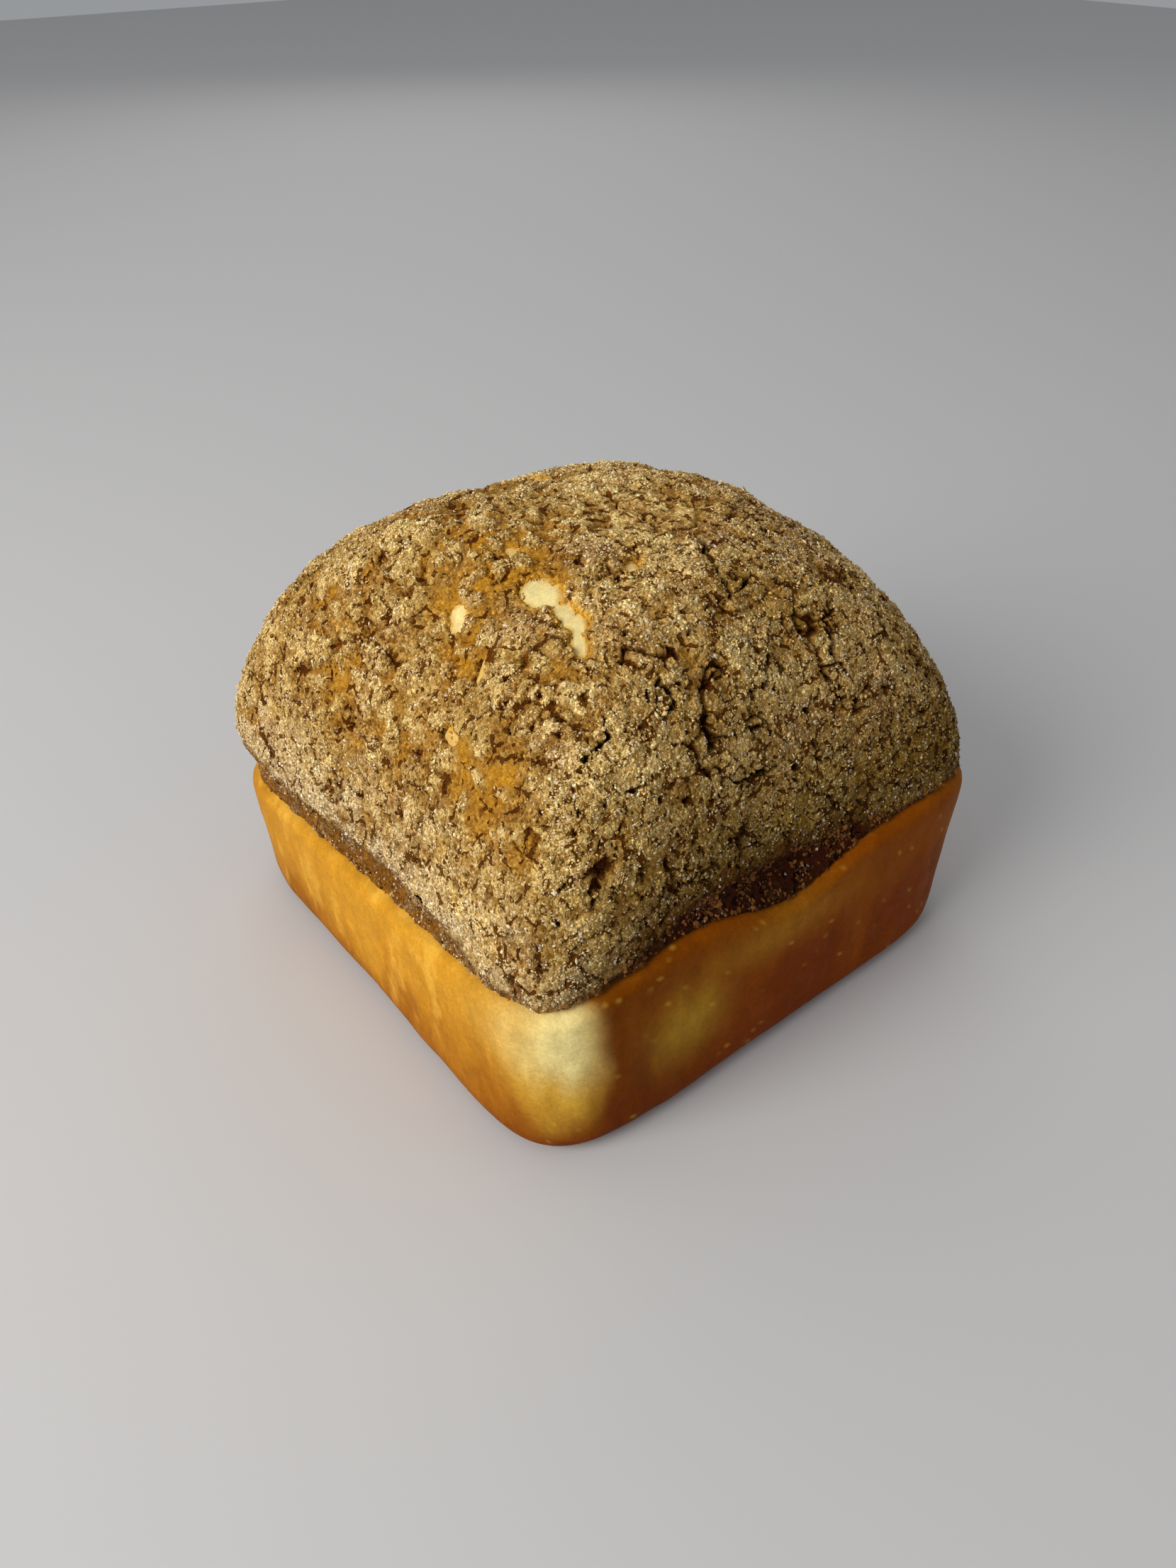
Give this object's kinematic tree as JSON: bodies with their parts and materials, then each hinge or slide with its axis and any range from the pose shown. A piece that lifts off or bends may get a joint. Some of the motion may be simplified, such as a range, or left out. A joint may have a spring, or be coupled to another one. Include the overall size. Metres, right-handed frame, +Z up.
{
  "type": "melon pan bun",
  "caption": "Square tin-baked melon pan: a golden bread base with a rounded lip under a domed, cracked, sugared cookie crust with overhanging corners.",
  "frame": {"origin": "middle of the footprint, on the surface the bun stands on", "axes": "+Z up; the straight sides of the bun run along X and Y; the lowest side of the crust faces -Y"},
  "size_m": [0.0982, 0.097, 0.0763],
  "materials": {
    "crust": "rough, granular, sugared cookie crust, tan with brown pores, amber hollows and cracks",
    "bread": "smooth satin baked bread, golden orange, browner lower down, cream where it is pale"
  },
  "bodies": {
    "root": {"bread_body": "bread", "cookie_crust": "crust"}
  },
  "joints": []
}
